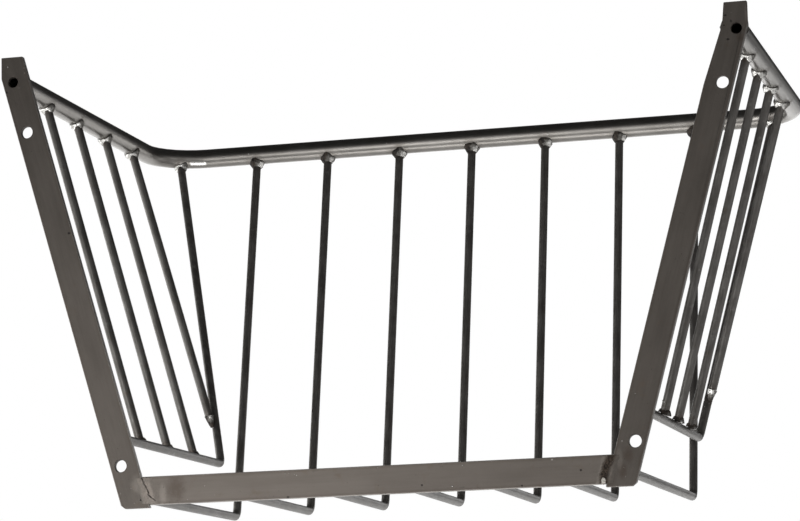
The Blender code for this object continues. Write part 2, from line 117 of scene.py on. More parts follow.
class Socket:
    """An output socket of a node tree. Arithmetic on it adds Math nodes to the tree."""

    def __init__(self, tree, socket=None):
        self.tree = tree
        self.socket = socket

    def node(self, kind, settings, inputs, output=0):
        """A node of this kind: its settings first, then the values or links of its sockets."""
        made = self.tree.nodes.new(kind)
        for name, setting in settings.items():
            setattr(made, name, setting)
        for name, value in inputs.items():
            if isinstance(value, Socket):
                self.tree.links.new(value.socket, made.inputs[name])
            else:
                made.inputs[name].default_value = value
        return Socket(self.tree, made.outputs[output])

    def math(self, operation, first, second=0.0):
        return self.node("ShaderNodeMath", {"operation": operation}, {0: first, 1: second})

    def vector(self, operation, first, second, output=0):
        settings = {"operation": operation}
        return self.node("ShaderNodeVectorMath", settings, {0: first, 1: second}, output)

    def __add__(self, other):
        return self.math("ADD", self, other)

    def __sub__(self, other):
        return self.math("SUBTRACT", self, other)

    def __mul__(self, other):
        return self.math("MULTIPLY", self, other)

    def __truediv__(self, other):
        return self.math("DIVIDE", self, other)

    def __radd__(self, other):
        return self.math("ADD", other, self)

    def __rsub__(self, other):
        return self.math("SUBTRACT", other, self)

    def __rmul__(self, other):
        return self.math("MULTIPLY", other, self)

    def __rtruediv__(self, other):
        return self.math("DIVIDE", other, self)

    def larger(self, other):
        return self.math("MAXIMUM", self, other)

    def step(self, low, high):
        """0 below low, 1 above high, and a soft rise between them."""
        settings = {"interpolation_type": "SMOOTHSTEP"}
        return self.node("ShaderNodeMapRange", settings, {0: self, 1: low, 2: high})

    def size(self):
        return self.math("ABSOLUTE", self)

    def tint(self, colour, other):
        """The first colour where this is 0, the other where it is 1. Sockets 6 and 7 of a Mix
        node are its two colours."""
        first, second = (
            item if isinstance(item, Socket) else (*item, 1.0) for item in (colour, other))
        settings = {"data_type": "RGBA"}
        return self.node("ShaderNodeMix", settings, {0: self, 6: first, 7: second}, output=2)

    def moved(self, move, turn=(0.0, 0.0, 0.0)):
        """These coordinates moved, then turned."""
        made = self.node("ShaderNodeMapping", {}, {0: self, 1: move})
        return self.node("ShaderNodeMapping", {}, {0: made, 2: turn})

    def stretched(self, scale):
        return self.node("ShaderNodeMapping", {}, {0: self, 3: scale})

    def axis(self, index):
        return self.node("ShaderNodeSeparateXYZ", {}, {0: self}, output=index)

    def noise(self, scale, detail=2.0, roughness=0.5):
        """Soft random patches from 0 to 1, this many to the metre."""
        inputs = {"Vector": self, "Scale": scale, "Detail": detail, "Roughness": roughness}
        return self.node("ShaderNodeTexNoise", {}, inputs)

    def cells(self, scale, feature="F1"):
        """Distance to the nearest of many scattered points, which are 1 / scale apart, in
        units of that spacing."""
        inputs = {"Vector": self, "Scale": scale}
        return self.node("ShaderNodeTexVoronoi", {"feature": feature}, inputs)


def new_steel(name):
    """An empty material, its shader and its object coordinates."""
    material = bpy.data.materials.new(name)
    material.use_nodes = True
    tree = material.node_tree
    place = Socket(tree).node("ShaderNodeTexCoord", {}, {}, output="Object")
    return material, tree.nodes["Principled BSDF"], place


def finish_steel(shader, colour, roughness, height, metallic, relief):
    """Links what varies into the shader. Relief is the depth in metres of a height of 1."""
    tree = colour.tree
    tree.links.new(colour.socket, shader.inputs["Base Color"])
    tree.links.new(roughness.socket, shader.inputs["Roughness"])
    if isinstance(metallic, Socket):
        tree.links.new(metallic.socket, shader.inputs["Metallic"])
    else:
        shader.inputs["Metallic"].default_value = metallic
    bump = colour.node("ShaderNodeBump", {}, {"Height": height, "Distance": relief})
    tree.links.new(bump.socket, shader.inputs["Normal"])


def wall_side_marks(place, marks, blur):
    """1 inside these marks on the wall side, 0 elsewhere. The outlines are ragged, and more so
    with more blur, from 0 to 1."""
    ragged = (place.noise(900.0, 3.0, 0.6) + place.noise(230.0, 3.0, 0.6) * blur * 2.4) * 0.9
    total = None
    for x, z, half_width, half_height in marks:
        across = (place.axis(0) - x) / half_width
        upward = (place.axis(2) - z) / half_height
        reach = across * across + upward * upward + ragged
        inside = reach.step(1.45 + blur * 2.0, 1.45 - blur * 0.6)
        total = inside if total is None else total.larger(inside)
    return total * place.axis(1).step(*MARK_DEPTHS)


def flat_bar_steel(name, centre_x, lean, dark, light):
    """Mill scale with faint streaks along the bar, rubbed to bare steel along the arrises, with
    painted shade in a band inside each edge and towards the bar's top. The bar's middle line goes
    through centre_x at the height 0 and leans by this angle."""
    material, shader, place = new_steel(name)
    along_bar = place.moved((-centre_x, 0.0, 0.0), turn=(0.0, lean, 0.0))
    streaks = along_bar.stretched((1.0, 1.0, 0.05)).noise(420.0, 4.0, 0.6)
    bands = along_bar.stretched((1.0, 1.0, 0.12)).noise(90.0, 2.0, 0.5)
    patches = along_bar.stretched((1.0, 1.0, 0.5)).noise(24.0, 4.0, 0.6)
    grain = place.noise(2300.0, 3.0, 0.65)
    pits = place.cells(330.0).step(0.13, 0.05) * place.noise(60.0).step(0.55, 0.66)
    rust = place.noise(52.0, 5.0, 0.7).step(0.57, 0.74)
    inside_edge = FLAT_WIDTH / 2 - along_bar.axis(0).size() - (streaks - 0.5) * 0.0010
    edge_shade = inside_edge.step(0.0034, 0.0014)
    arris = inside_edge.step(0.0010, 0.0002)
    tone = patches * 0.5 + bands * 0.3 + streaks * 0.2
    colour = tone.step(0.34, 0.66).tint(dark, light)
    # Painted shade: a band just inside each edge of the bar is darkened.
    colour = (edge_shade * 0.22).tint(colour, HEAT_BROWN)
    colour = (rust * 0.35).tint(colour, RUST_BROWN)
    colour = ((grain - 0.35) * 0.35).tint(colour, HEAT_BROWN)
    # Painted shade: the bars grow darker towards their tops.
    colour = (place.axis(2).step(0.12, 0.40) * 0.07).tint(colour, PIT_BLACK)
    brown = wall_side_marks(place, BROWN_PLACES, 0.9)
    colour = (brown * 0.65).tint(colour, HEAT_BROWN)
    rubbed = wall_side_marks(place, RUBBED_PLACES, 0.7) * grain.step(0.25, 0.75)
    colour = (rubbed * 0.40).tint(colour, GROUND_STEEL)
    colour = (arris * 0.65 * grain.step(0.3, 0.6)).tint(colour, BARE_EDGE)
    bright = wall_side_marks(place, BRIGHT_SPECKS, 0.3)
    colour = (bright * 0.8).tint(colour, BRIGHT_STEEL)
    pocks = wall_side_marks(place, POCKS, 0.4).larger(pits)
    colour = (pocks * 0.85).tint(colour, PIT_BLACK)
    roughness = 0.46 + patches * 0.12 + grain * 0.10 - arris * 0.15 - rubbed * 0.12 - bright * 0.2
    height = grain * 0.45 + streaks * 0.35 + patches * 0.6 - pocks * 1.6
    finish_steel(shader, colour, roughness, height, metallic=0.7, relief=0.00016)
    return material


def round_shading_tree():
    """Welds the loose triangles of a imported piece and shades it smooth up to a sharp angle."""
    tree = bpy.data.node_groups.new("round_shading", "GeometryNodeTree")
    tree.interface.new_socket("Geometry", in_out="INPUT", socket_type="NodeSocketGeometry")
    tree.interface.new_socket("Sharp angle", in_out="INPUT", socket_type="NodeSocketFloat")
    tree.interface.new_socket("Geometry", in_out="OUTPUT", socket_type="NodeSocketGeometry")
    start = Socket(tree)
    shape = start.node("NodeGroupInput", {}, {}, output="Geometry")
    sharp = Socket(tree, shape.socket.node.outputs["Sharp angle"])
    shape = start.node("GeometryNodeRemoveAttribute", {}, {0: shape, "Name": "custom_normal"})
    shape = start.node("GeometryNodeMergeByDistance", {}, {0: shape, "Distance": 0.00001})
    angle = start.node("GeometryNodeInputMeshEdgeAngle", {}, {})
    crease = start.math("GREATER_THAN", angle, sharp)
    hard = {0: shape, "Selection": crease, "Shade Smooth": False}
    shape = start.node("GeometryNodeSetShadeSmooth", {"domain": "EDGE"}, hard)
    soft = {0: shape, "Shade Smooth": True}
    shape = start.node("GeometryNodeSetShadeSmooth", {"domain": "FACE"}, soft)
    tree.links.new(shape.socket, tree.nodes.new("NodeGroupOutput").inputs[0])
    return tree


def named_input(tree, name):
    """The identifier by which a modifier sets this input of its tree."""
    return next(item.identifier for item in tree.interface.items_tree if item.name == name)


ROUND_SHADING = round_shading_tree()


def dress(name, material, sharp_angle):
    """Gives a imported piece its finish, and smooth shading up to an angle in degrees."""
    piece = nodes[name]
    for item in piece.material_slots:
        item.material = material
    smoothing = piece.modifiers.new("round_shading", "NODES")
    smoothing.node_group = ROUND_SHADING
    smoothing[named_input(ROUND_SHADING, "Sharp angle")] = math.radians(sharp_angle)


left_steel = flat_bar_steel("left_stile", FOOT_HALF_SPAN, -STILE_LEAN, SCALE_DARK, SCALE_LIGHT)
right_steel = flat_bar_steel("right_stile", -FOOT_HALF_SPAN, STILE_LEAN, SCALE_DARK, SCALE_LIGHT)
rail_steel = flat_bar_steel("bottom_rail", 0.0, math.pi / 2, RAIL_DARK, RAIL_LIGHT)
dress("left_stile", left_steel, FLAT_SHARP_ANGLE)
dress("right_stile", right_steel, FLAT_SHARP_ANGLE)
dress("bottom_rail", rail_steel, FLAT_SHARP_ANGLE)


# Rim: 19 mm drawn steel tube bent to a U, smooth and satin with fine draw lines along it, and
# welded to the stiles' front faces. Each weld under it has left a brown heat tint.

RIM_HALF_WIDTH = 0.3285
RIM_DEPTH = 0.407
RIM_BEND_RADIUS = 0.050
ROUND_SHARP_ANGLE = 40.0
LOWEST_TOP_WELD = 0.34
TUBE_DARK = (0.180, 0.169, 0.155)
TUBE_LIGHT = (0.255, 0.243, 0.227)
HIGHLIGHT_WHITE = (0.78, 0.77, 0.74)

# Points along a streak on the left bend, where a highlight is painted in near-white
PAINTED_HIGHLIGHT_STREAK = [
    (0.2925, -0.3980, 0.3703), (0.2900, -0.3986, 0.3703), (0.2875, -0.3991, 0.3703),
    (0.2850, -0.3996, 0.3703), (0.2825, -0.3999, 0.3703), (0.2800, -0.4001, 0.3703)]


def middle_of(name):
    """The middle of a node's box."""
    low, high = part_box(name)
    return (Vector(low) + Vector(high)) / 2


WELDS = [name for name in nodes if name.startswith("weld_")]
TOP_WELDS = [name for name in WELDS if middle_of(name).z > LOWEST_TOP_WELD]


def nearness(place, points, near, far):
    """1 within the near distance of any of these points, 0 past the far one."""
    total = None
    for point in points:
        inside = place.vector("DISTANCE", place, tuple(point), output=1).step(far, near)
        total = inside if total is None else total.larger(inside)
    return total


def tube_steel(name):
    """Satin drawn steel, with draw lines that follow the tube and a painted highlight on the left
    bend. Flat is the level way from the nearer bend's middle, and turn is the angle round the
    tube's own axis."""
    material, shader, place = new_steel(name)
    across = place.axis(0).size() - (RIM_HALF_WIDTH - RIM_BEND_RADIUS)
    outward = place.axis(1).size() - (RIM_DEPTH - RIM_BEND_RADIUS)
    flat = place.node("ShaderNodeCombineXYZ", {}, {0: across.larger(0.0), 1: outward.larger(0.0)})
    off_axis = place.vector("LENGTH", flat, flat, output=1) - RIM_BEND_RADIUS
    turn = place.math("ARCTAN2", place.axis(2) - RIM_HEIGHT, off_axis)
    length = place.axis(0) + place.axis(1)
    round_tube = place.node("ShaderNodeCombineXYZ", {}, {0: turn, 1: length * 6.0})
    draw_lines = round_tube.noise(16.0, 4.0, 0.65)
    fine_lines = round_tube.noise(70.0, 2.0, 0.6)
    patches = place.noise(22.0, 4.0, 0.6)
    grain = place.noise(2100.0, 2.0, 0.6)
    heat = nearness(place, [middle_of(weld) for weld in TOP_WELDS], 0.006, 0.015)
    heat = heat * place.noise(160.0, 3.0, 0.6).step(0.3, 0.6)
    specks = place.cells(260.0).step(0.12, 0.05) * place.noise(70.0).step(0.56, 0.66)
    tone = patches * 0.45 + draw_lines * 0.35 + fine_lines * 0.2
    colour = tone.step(0.36, 0.64).tint(TUBE_DARK, TUBE_LIGHT)
    # Painted highlight: a near-white streak on the left bend, which is also made a little less
    # rough.
    painted_highlight = nearness(place, PAINTED_HIGHLIGHT_STREAK, 0.0012, 0.0030)
    colour = (heat * 0.4).tint(colour, HEAT_BROWN)
    colour = painted_highlight.tint(colour, HIGHLIGHT_WHITE)
    colour = (specks * 0.7).tint(colour, PIT_BLACK)
    roughness = 0.24 + patches * 0.12 + grain * 0.06 + heat * 0.12 - painted_highlight * 0.1
    height = fine_lines * 0.5 + grain * 0.5 + patches - specks
    finish_steel(shader, colour, roughness, height, metallic=1.0, relief=0.00004)
    return material


dress("rim_tube", tube_steel("drawn_tube"), ROUND_SHARP_ANGLE)


# Rods: 8 mm hot-rolled round bar, bent cold. Seven at the front, one at each corner, and four
# on each side, all grey with mill scale that the bending and the welding have marked.

ROD_DARK = (0.085, 0.079, 0.073)
ROD_LIGHT = (0.150, 0.143, 0.134)
RUBBED_ROD = (0.24, 0.23, 0.22)
LINE_STRETCH = 0.06


def rod_steel(name, across):
    """Across is the direction over the rod, in which its fine drawn lines repeat."""
    material, shader, place = new_steel(name)
    stretch = [LINE_STRETCH] * 3
    stretch[across] = 1.0
    lines = place.stretched(stretch).noise(650.0, 3.0, 0.6)
    patches = place.noise(48.0, 4.0, 0.6)
    grain = place.noise(2200.0, 3.0, 0.65)
    rust = place.noise(85.0, 4.0, 0.7).step(0.58, 0.72)
    rubbed = place.noise(120.0, 4.0, 0.7).step(0.60, 0.70)
    heat = nearness(place, [middle_of(weld) for weld in WELDS], 0.005, 0.013)
    heat = heat * place.noise(300.0, 3.0).step(0.35, 0.65)
    tone = patches * 0.35 + lines * 0.5 + grain * 0.15
    colour = tone.step(0.36, 0.64).tint(ROD_DARK, ROD_LIGHT)
    colour = (rust * 0.3).tint(colour, RUST_BROWN)
    colour = (rubbed * 0.35).tint(colour, RUBBED_ROD)
    colour = (heat * 0.6).tint(colour, HEAT_BROWN)
    roughness = 0.34 + patches * 0.14 + grain * 0.10 - rubbed * 0.08
    height = grain * 0.5 + lines * 0.4 + patches
    finish_steel(shader, colour, roughness, height, metallic=0.88, relief=0.00010)
    return material


front_rod_steel = rod_steel("front_rod", 0)
side_rod_steel = rod_steel("side_rod", 1)
for name in nodes:
    if "rod" in name and name not in WELDS:
        material = front_rod_steel if "front" in name else side_rod_steel
        dress(name, material, ROUND_SHARP_ANGLE)


# Welds: short beads run by hand where the rods meet the rim and the frame, and left as they
# were. Each is a few rounded lumps, black with slag and bright where the slag has come off; that
# bright spot is set where each bead shows its highlight, so it is partly a painted highlight.

BEAD_VOXEL = 0.00038
LUMP_CELLS = 300.0
SKIN_HEIGHT = 0.00025
SLAG_GLOSS = 0.25
SILVER = (0.74, 0.73, 0.70)
DULL_SILVER = (0.135, 0.128, 0.118)
SLAG = (0.012, 0.010, 0.009)
BROWN_SLAG = (0.042, 0.033, 0.026)

# Each kind of bead: the height of its lumps, the cleanest spot (in halves of the bead's box from
# its middle), which is set where the bead shows its highlight and so is partly a painted
# highlight, how far from there the clean metal reaches, the share of it beyond that, and how
# much of the bead's size along Y is kept
BEAD_KINDS = {
    "tube's end": (0.0003, (0.0, -1.0, -1.0), 0.0080, 0.30, 1.0),
    "corner seam": (0.0005, (0.0, -1.0, 0.0), 0.0080, 0.30, 1.0),
    "front rod's top": (0.0010, (-0.95, 0.7, -0.5), 0.0110, 0.0, 1.0),
    "other rod's top": (0.0007, (0.1, 0.6, -0.3), 0.0100, 0.25, 0.64),
    "last left rod's foot": (0.0006, (-0.9, 0.9, 0.6), 0.0072, 0.12, 1.0),
    "last right rod's foot": (0.0008, (0.4, 0.8, 0.9), 0.0110, 0.12, 1.0),
    "side rod's foot": (0.0006, (-0.8, 0.8, -0.6), 0.0030, 0.08, 0.78),
    "other rod's foot": (0.0010, (0.0, 0.0, -1.0), 0.0080, 0.15, 1.0)}


def lump_tree():
    """Swells a closed bead into rounded lumps with creases between them."""
    tree = bpy.data.node_groups.new("weld_lumps", "GeometryNodeTree")
    tree.interface.new_socket("Geometry", in_out="INPUT", socket_type="NodeSocketGeometry")
    for name in ("Cells", "Lump height", "Skin height"):
        tree.interface.new_socket(name, in_out="INPUT", socket_type="NodeSocketFloat")
    tree.interface.new_socket("Finish", in_out="INPUT", socket_type="NodeSocketMaterial")
    tree.interface.new_socket("Geometry", in_out="OUTPUT", socket_type="NodeSocketGeometry")
    start = Socket(tree)
    shape = start.node("NodeGroupInput", {}, {}, output="Geometry")
    given = {item.name: Socket(tree, item) for item in shape.socket.node.outputs if item.name}
    place = start.node("GeometryNodeInputPosition", {}, {})
    normal = start.node("GeometryNodeInputNormal", {}, {})
    lumps = place.cells(given["Cells"], "SMOOTH_F1")
    skin = place.noise(1500.0, 3.0, 0.6) - 0.5
    swell = (0.42 - lumps) * given["Lump height"] + skin * given["Skin height"]
    move = start.node("ShaderNodeVectorMath", {"operation": "SCALE"}, {0: normal, 3: swell})
    shape = start.node("GeometryNodeSetPosition", {}, {0: shape, "Offset": move})
    shape = start.node("GeometryNodeSetShadeSmooth", {}, {0: shape, "Shade Smooth": True})
    shape = start.node("GeometryNodeRealizeInstances", {}, {0: shape})
    finish = {0: shape, "Material": given["Finish"]}
    shape = start.node("GeometryNodeSetMaterial", {}, finish)
    tree.links.new(shape.socket, tree.nodes.new("NodeGroupOutput").inputs[0])
    return tree


def weld_steel(name):
    """Slag, dull metal or silver metal, by how clean of slag a place is. Where a bead's clean spot
    is set at its highlight, the silver there is partly a painted highlight.
    """
    material, shader, place = new_steel(name)
    crowns = place.cells(LUMP_CELLS, "SMOOTH_F1").step(0.56, 0.34)
    clean_and_highlight = place.node("ShaderNodeAttribute", {"attribute_name": "clean_and_highlight"}, {}, output=2)
    patchy = clean_and_highlight + place.noise(420.0, 3.0, 0.6) * 0.8 - 0.4
    dull = patchy.step(0.18, 0.40)
    # Silver where the slag is off. Around a bead's clean spot this is partly a painted highlight.
    silver = patchy.step(0.50, 0.72) * (0.60 + crowns * 0.40)
    skin = place.noise(1500.0, 3.0, 0.6)
    dark = place.noise(260.0, 3.0, 0.6).step(0.35, 0.65).tint(SLAG, BROWN_SLAG)
    colour = silver.tint(dull.tint(dark, DULL_SILVER), SILVER)
    roughness = 0.60 - dull * 0.14 - silver * 0.28 + skin * 0.12
    metallic = 0.2 + dull * 0.6 + silver * 0.2
    shader.inputs["Specular IOR Level"].default_value = SLAG_GLOSS
    finish_steel(shader, colour, roughness, skin, metallic, relief=0.0002)
    return material


LUMPS = lump_tree()
weld_material = weld_steel("weld_metal")


def merged_copy(name, kept_depth):
    """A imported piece's surface as one closed mesh of its own, with this share of its size along
    Y kept."""
    surface = bmesh.new()
    surface.from_mesh(nodes[name].data)
    bmesh.ops.remove_doubles(surface, verts=surface.verts, dist=0.00001)
    middle = middle_of(name)
    for corner in surface.verts:
        corner.co.y = middle.y + (corner.co.y - middle.y) * kept_depth
    mesh = bpy.data.meshes.new(name + "_copy")
    surface.to_mesh(mesh)
    surface.free()
    copy = bpy.data.objects.new(name + "_copy", mesh)
    bpy.context.scene.collection.objects.link(copy)
    return copy


def made_plain(builder, name):
    """The evaluated shape of an object as a plain piece, in place of the object."""
    bpy.context.view_layer.update()
    evaluated = builder.evaluated_get(bpy.context.evaluated_depsgraph_get())
    mesh = bpy.data.meshes.new_from_object(evaluated)
    bpy.data.objects.remove(builder)
    mesh.name = name
    piece = bpy.data.objects.new(name, mesh)
    bpy.context.scene.collection.objects.link(piece)
    return piece


def paint_clean_and_highlight(piece, spot, reach, base):
    """Writes on a piece how clean of slag it is: 1 at the spot, which is given in halves of the
    piece's box from its middle, and from there evenly down to the base share at the reach. On the
    beads the spot is where each shows its highlight, so this also paints a highlight."""
    low, high = (Vector(corner(vertex.co[axis] for vertex in piece.data.vertices)
                        for axis in range(3)) for corner in (min, max))
    middle, half = (low + high) / 2, (high - low) / 2
    crown = middle + Vector([share * size for share, size in zip(spot, half)])
    shares = [max(base, 1.0 - (vertex.co - crown).length / reach * (1.0 - base))
              for vertex in piece.data.vertices]
    clean_and_highlight = piece.data.attributes.new("clean_and_highlight", "FLOAT", "POINT")
    clean_and_highlight.data.foreach_set("value", shares)


def lumpy_bead(name, lump_height, spot, reach, base, kept_depth):
    """A weld node's bead with its lumps and its slag, in place of the node."""
    builder = merged_copy(name, kept_depth)
    voxels = builder.modifiers.new("voxels", "REMESH")
    voxels.mode = "VOXEL"
    voxels.voxel_size = BEAD_VOXEL
    swelling = builder.modifiers.new("lumps", "NODES")
    swelling.node_group = LUMPS
    swelling[named_input(LUMPS, "Cells")] = LUMP_CELLS
    swelling[named_input(LUMPS, "Lump height")] = lump_height
    swelling[named_input(LUMPS, "Skin height")] = SKIN_HEIGHT
    swelling[named_input(LUMPS, "Finish")] = weld_material
    piece = made_plain(builder, name.replace("weld_", "bead_"))
    paint_clean_and_highlight(piece, spot, reach, base)
    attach(piece, "root")
    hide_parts(name)


def bead_kind(name):
    """The kind of bead that a weld node is, by its name and height."""
    if "tube" in name:
        return "tube's end"
    if "seam" in name:
        return "corner seam"
    if name in TOP_WELDS:
        return "front rod's top" if "front" in name else "other rod's top"
    if "side_rod" in name and "_4_" in name:
        return "last left rod's foot" if "left" in name else "last right rod's foot"
    return "side rod's foot" if "side" in name else "other rod's foot"


for name in WELDS:
    lumpy_bead(name, *BEAD_KINDS[bead_kind(name)])


# Spatter: drops of weld metal that the welding threw round the joints, and that froze to the
# bar, the rods and the tube. Most of them are very small.

SPATTER_PER_WELD = 7
SPATTER_REACH = (0.007, 0.024)
SMALLEST_DROP = 0.00022
DROP_RANGE = 0.00045
SPATTER_CLEAN_REACH = 1.0
SPATTER_CLEAN_SHARE = 0.7


def spatter_tree():
    """A small ball at each point, sized by the point's own radius."""
    tree = bpy.data.node_groups.new("spatter", "GeometryNodeTree")
    tree.interface.new_socket("Geometry", in_out="INPUT", socket_type="NodeSocketGeometry")
    tree.interface.new_socket("Finish", in_out="INPUT", socket_type="NodeSocketMaterial")
    tree.interface.new_socket("Geometry", in_out="OUTPUT", socket_type="NodeSocketGeometry")
    start = Socket(tree)
    shape = start.node("NodeGroupInput", {}, {}, output="Geometry")
    finish = Socket(tree, shape.socket.node.outputs["Finish"])
    ball = start.node("GeometryNodeMeshIcoSphere", {}, {"Radius": 1.0, "Subdivisions": 2})
    radius = start.node("GeometryNodeInputNamedAttribute", {"data_type": "FLOAT"}, {0: "drop"})
    points = start.node("GeometryNodeMeshToPoints", {}, {0: shape})
    drops = {0: points, "Instance": ball, "Scale": radius}
    shape = start.node("GeometryNodeInstanceOnPoints", {}, drops)
    shape = start.node("GeometryNodeRealizeInstances", {}, {0: shape})
    shape = start.node("GeometryNodeSetShadeSmooth", {}, {0: shape, "Shade Smooth": True})
    shape = start.node("GeometryNodeSetMaterial", {}, {0: shape, "Material": finish})
    tree.links.new(shape.socket, tree.nodes.new("NodeGroupOutput").inputs[0])
    return tree


def spatter():
    """Drops on the nearest steel round each weld."""
    chance = random.Random(19)
    surface = bmesh.new()
    for name in nodes:
        if name not in WELDS:
            surface.from_mesh(nodes[name].data)
    steel = BVHTree.FromBMesh(surface)
    surface.free()
    places, radii = [], []
    for name in WELDS:
        for drop in range(SPATTER_PER_WELD):
            way = Vector([chance.uniform(-1.0, 1.0) for axis in range(3)]).normalized()
            thrown = middle_of(name) + way * chance.uniform(*SPATTER_REACH)
            places.append(steel.find_nearest(thrown)[0])
            radii.append(SMALLEST_DROP + DROP_RANGE * chance.random() ** 3)
    mesh = bpy.data.meshes.new("drops")
    mesh.from_pydata(places, [], [])
    mesh.attributes.new("drop", "FLOAT", "POINT").data.foreach_set("value", radii)
    builder = bpy.data.objects.new("drops", mesh)
    bpy.context.scene.collection.objects.link(builder)
    throwing = builder.modifiers.new("spatter", "NODES")
    throwing.node_group = spatter_tree()
    throwing[named_input(throwing.node_group, "Finish")] = weld_material
    piece = made_plain(builder, "weld_spatter")
    paint_clean_and_highlight(piece, (0.0, 0.0, 0.0), SPATTER_CLEAN_REACH, SPATTER_CLEAN_SHARE)
    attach(piece, "root")


spatter()


# Corner seams: on the wall side each joint of stile and rail was welded over and ground nearly
# flush. On the left a crack is left in it, and on the right a burnt groove with bright grit.

SEAM_HALF_WIDTH = 0.0095
SEAM_HALF_HEIGHT = 0.0118
SEAM_GRID = 0.00035
SEAM_PROUD = 0.00025
SEAM_SUNK = 0.00015
SEAM_BACK = -0.0015
SEAM_FROM_RAIL_END = 0.0020
CRACK_DEPTH = 0.00030
CHAR_LUMPS = 0.0002
RIPPLE_WAVES = 8
RAIL_END = 0.2080
STILE_TONE = (0.095, 0.084, 0.073)
RAIL_TONE = (0.134, 0.118, 0.103)
LEFT_GROUND = (0.170, 0.146, 0.127)
RIGHT_GROUND = (0.125, 0.106, 0.090)
BURNT_DARK = (0.020, 0.015, 0.012)
BURNT_BROWN = (0.085, 0.064, 0.048)
GRIT = (0.58, 0.55, 0.50)

# Lines on the wall side, as (x, z)
LEFT_CRACK = [(0.2110, 0.0130), (0.2092, 0.0080), (0.2068, 0.0035), (0.2045, -0.0016),
              (0.2048, -0.0036), (0.2020, -0.0060), (0.1985, -0.0086)]
RIGHT_GROOVE = [(-0.2098, 0.0130), (-0.2085, 0.0085), (-0.2050, 0.0030), (-0.2030, -0.0040),
                (-0.2020, -0.0120)]


def distance_to_line(x, z, line):
    """Distance from a place on the wall side to a line of straight pieces, 1 m at most."""
    nearest = 1.0
    for (x1, z1), (x2, z2) in zip(line, line[1:]):
        run = Vector((x2 - x1, z2 - z1))
        share = (Vector((x - x1, z - z1)).dot(run)) / run.length_squared
        share = min(max(share, 0.0), 1.0)
        nearest = min(nearest, math.hypot(x - x1 - run.x * share, z - z1 - run.y * share))
    return nearest


def falling(value, near, far):
    """1 below near and 0 above far."""
    return min(max((far - value) / (far - near), 0.0), 1.0)


def ground_seam_steel(name, light):
    """Ground steel that fades out into the two bars' tones, with its crack, char and grit."""
    material, shader, place = new_steel(name)
    ground, crack, char, grit = (
        place.node("ShaderNodeAttribute", {"attribute_name": kind}, {}, output=2)
        for kind in ("ground", "crack", "char", "grit"))
    crack = crack * place.noise(420.0, 3.0, 0.6).step(0.36, 0.52)
    patches = place.noise(150.0, 4.0, 0.6)
    grain = place.noise(2300.0, 3.0, 0.65)
    along_scratches = place.moved((0.0, 0.0, 0.0), turn=(0.0, 0.6, 0.0))
    scratches = along_scratches.stretched((1.0, 1.0, 0.08)).noise(1500.0, 3.0)
    lumps = place.noise(620.0, 4.0, 0.65)
    on_rail = place.axis(0).size().step(RAIL_END - 0.0025, RAIL_END - 0.0040)
    colour = on_rail.tint(STILE_TONE, RAIL_TONE)
    colour = (patches.step(0.30, 0.60) * ground).tint(colour, light)
    colour = (scratches.step(0.52, 0.70) * ground * 0.2).tint(colour, GROUND_STEEL)
    burnt = lumps.step(0.38, 0.62).tint(BURNT_DARK, BURNT_BROWN)
    colour = char.tint(colour, burnt)
    colour = (crack * 0.80).tint(colour, PIT_BLACK)
    bright = (grit * place.noise(380.0, 3.0, 0.55)).step(0.34, 0.46)
    colour = bright.tint(colour, GRIT)
    roughness = 0.44 + grain * 0.14 + char * 0.15 - bright * 0.2
    height = grain * 0.4 + scratches * 0.4 - crack * 2.0 + char * lumps * 6.0
    finish_steel(shader, colour, roughness, height, metallic=0.7, relief=0.00018)
    return material


def seam_ripple(x, z, shares):
    """An uneven ripple over the pad, from the share of each of its waves."""
    return sum(share * math.sin((x * 700 + z * 900) * (wave + 1) * 0.6 + wave)
               for wave, share in enumerate(shares)) / 4


def seam_place(x, z, from_middle, ripple, crack_line, groove_line):
    """The pad's height at a place, and how far it is ground, cracked, burnt and gritty there."""
    uneven = from_middle + ripple * 0.0009
    proud = falling(uneven, SEAM_HALF_WIDTH * 0.5, SEAM_HALF_WIDTH * 0.95)
    ground = falling(from_middle, SEAM_HALF_WIDTH * 0.3, SEAM_HALF_WIDTH * 0.8)
    on_crack = distance_to_line(x, z, crack_line)
    crack_width = 0.00004 + 0.00018 * max(z, 0.0) / SEAM_HALF_HEIGHT
    cracked = falling(on_crack + ripple * 0.0002, crack_width, crack_width + 0.0005)
    on_groove = distance_to_line(x, z, groove_line)
    burnt = falling(on_groove + ripple * 0.0010, 0.0020, 0.0046)
    gritty = burnt * falling(z, -0.009, -0.002) * falling(on_groove, 0.0010, 0.0042)
    height = -SEAM_SUNK + (SEAM_PROUD + SEAM_SUNK) * proud - CRACK_DEPTH * cracked
    height += CHAR_LUMPS * ripple * burnt
    return height, (ground, cracked, burnt, gritty)


